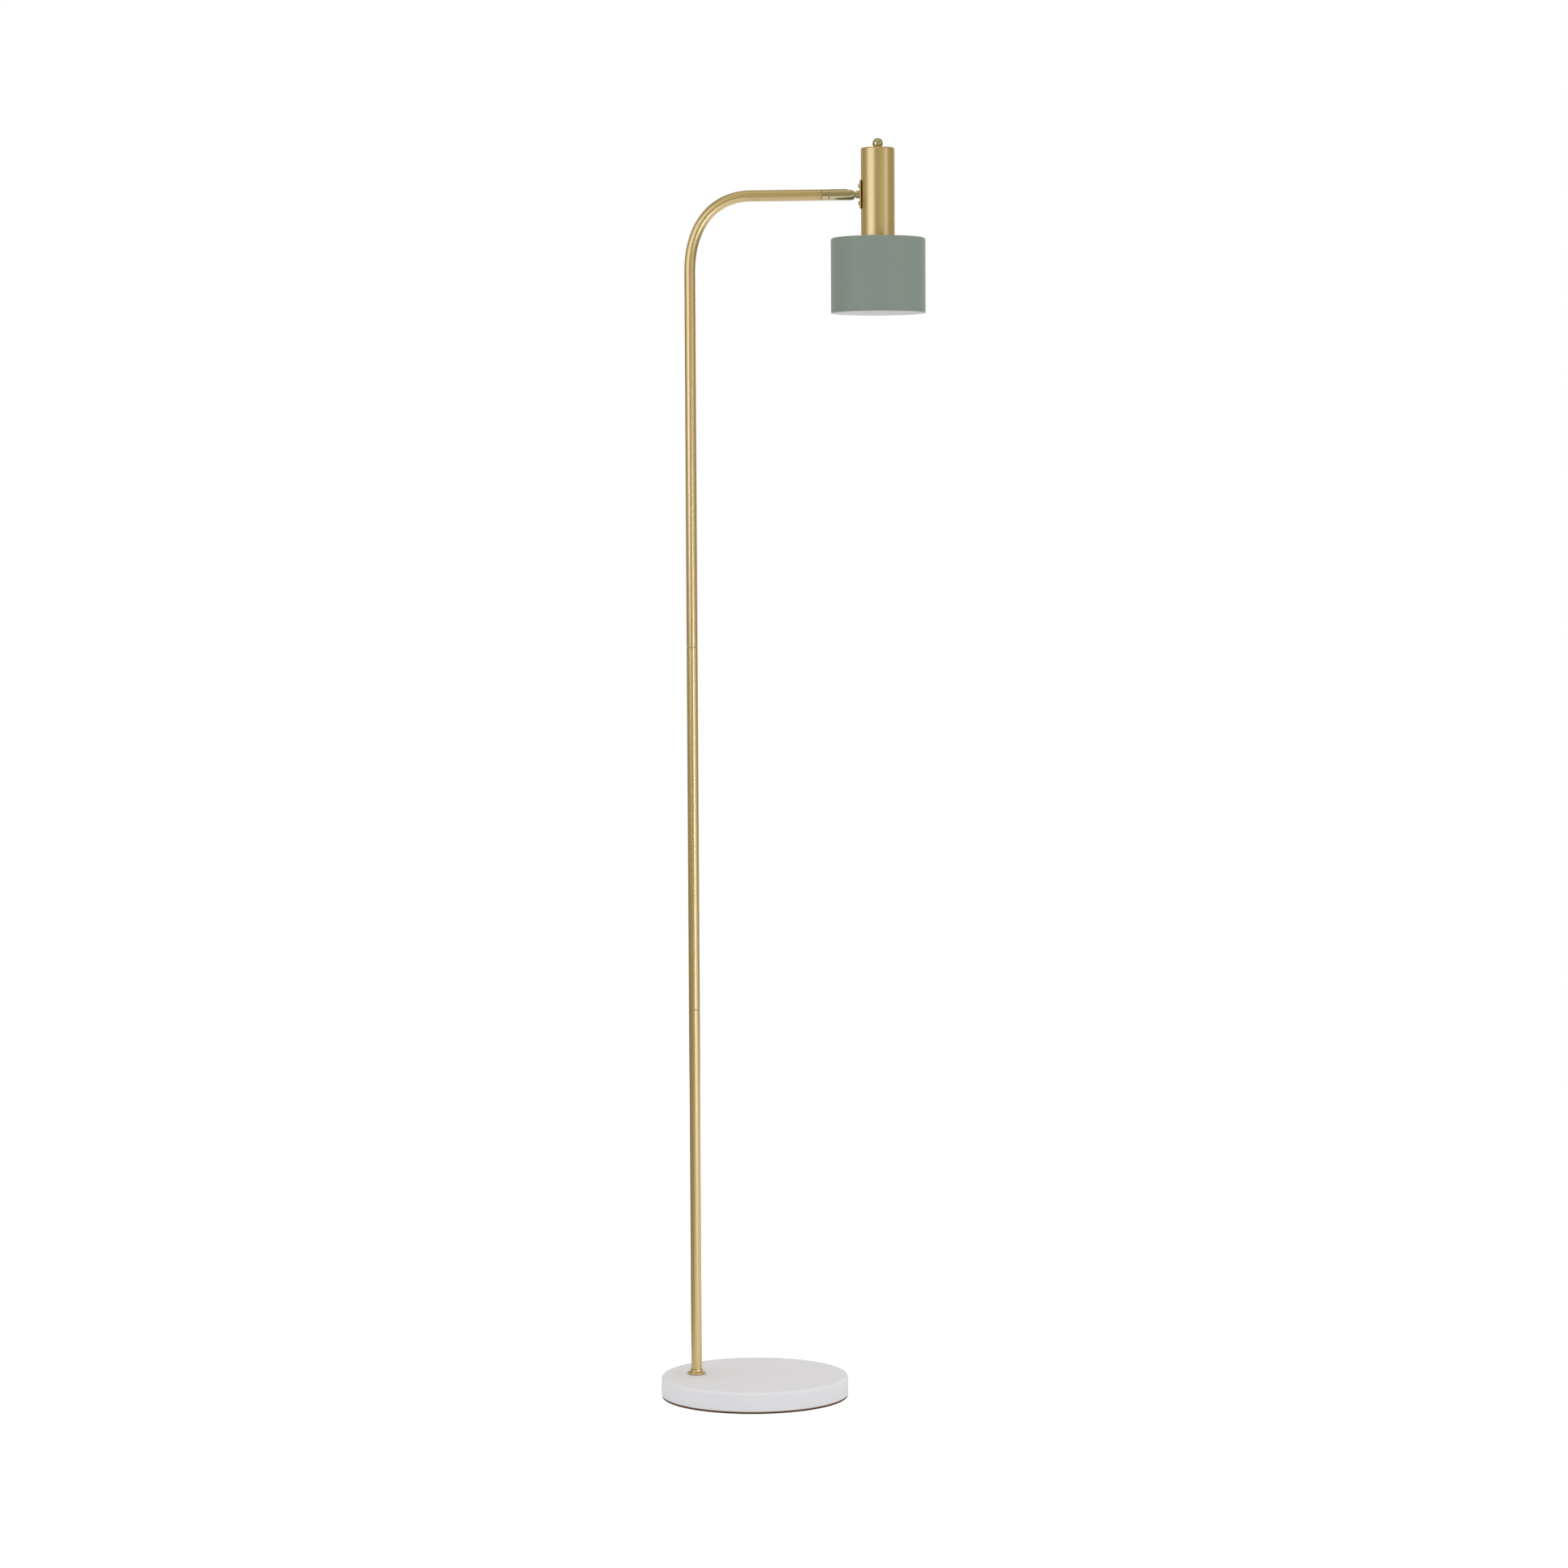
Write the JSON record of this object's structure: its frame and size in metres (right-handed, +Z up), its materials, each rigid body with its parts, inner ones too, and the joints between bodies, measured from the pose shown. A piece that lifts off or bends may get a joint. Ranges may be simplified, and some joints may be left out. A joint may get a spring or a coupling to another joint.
{
  "type": "adjustable arm floor lamp",
  "caption": "Floor lamp on a weighted disc base, with a bent-over pole and a small shaded head that swivels, tilts and turns at the arm's end.",
  "frame": {"origin": "on the floor, at the middle of the underside of the round base", "axes": "+Z up the pole, +X along the arm from the pole towards the head, +Y to the left seen along +X"},
  "size_m": [0.3296, 0.23, 1.5354],
  "materials": {
    "base_paint": "satin white powder coat",
    "weight_iron": "rough as cast",
    "zinc_plate": "zinc plated",
    "pad_foam": "matt black foam rubber",
    "inlet_rubber": "matt black rubber",
    "terminal_plastic": "moulded white nylon",
    "pole_brass": "satin brushed brass plate",
    "bright_brass": "polished pale brass",
    "lead_sheath": "cream lead sheath",
    "spring_steel": "bright drawn steel",
    "seat_nylon": "natural nylon",
    "holder_plastic": "black moulded plastic",
    "shade_paint": "matt sage green outside, matt white inside",
    "shade_lining": "matt white paint on the inside of the shade",
    "cap_aluminium": "threaded bulb cap",
    "bulb_opal": "opal glass"
  },
  "bodies": {
    "stand": {"base_cover": "base_paint", "base_weight": "weight_iron", "base_bottom_plate": "zinc_plate", "base_pad": "pad_foam", "plate_screw_1": "zinc_plate", "plate_screw_2": "zinc_plate", "plate_screw_3": "zinc_plate", "cord_inlet_bush": "inlet_rubber", "terminal_block": "terminal_plastic", "cord_clamp": "zinc_plate", "clamp_screw_1": "zinc_plate", "clamp_screw_2": "zinc_plate", "foot_flange": "pole_brass", "foot_insert": "zinc_plate", "foot_nipple": "zinc_plate", "foot_washer": "zinc_plate", "foot_lock_washer": "zinc_plate", "foot_nut": "zinc_plate", "lower_pole": "pole_brass", "middle_pole": "pole_brass", "upper_pole": "pole_brass", "lower_pole_top_insert": "zinc_plate", "middle_pole_bottom_insert": "zinc_plate", "lower_coupler": "zinc_plate", "middle_pole_top_insert": "zinc_plate", "upper_pole_bottom_insert": "zinc_plate", "upper_coupler": "zinc_plate", "stand_lead": "lead_sheath", "arm_end_insert": "zinc_plate", "arm_collar": "bright_brass", "swivel_stud": "spring_steel"},
    "swivel": {"swivel_housing": "bright_brass", "friction_washer": "seat_nylon", "ball_spring": "spring_steel", "ball_seat": "seat_nylon"},
    "stem": {"ball_stem": "bright_brass", "stem_lead": "lead_sheath"},
    "head": {"head_plate": "pole_brass", "boss_screw": "spring_steel", "head_plate_screw_upper": "pole_brass", "head_plate_screw_lower": "pole_brass", "backing_bar": "zinc_plate", "head_tube": "pole_brass", "finial_ball": "bright_brass", "holder_rod": "zinc_plate", "rod_nut": "zinc_plate", "head_lead": "lead_sheath", "lamp_holder": "holder_plastic", "screw_shell": "bright_brass", "centre_contact": "bright_brass", "shade_ring": "holder_plastic", "shade": "shade_paint", "bulb_cap": "cap_aluminium", "bulb_glass": "bulb_opal"}
  },
  "joints": [
    {"name": "swivel_turn", "type": "hinge", "parent": "stand", "child": "swivel", "pos_m": [0.1228, 0, 1.4679], "axis": [1, 0, 0], "range_deg": [-175, 175]},
    {"name": "head_tilt", "type": "hinge", "parent": "swivel", "child": "stem", "pos_m": [0.1228, 0, 1.4679], "axis": [0, -1, 0], "range_deg": [-8, 90]},
    {"name": "head_turn", "type": "hinge", "parent": "stem", "child": "head", "pos_m": [0.1228, 0, 1.4679], "axis": [1, 0, 0], "range_deg": [-90, 90]}
  ]
}
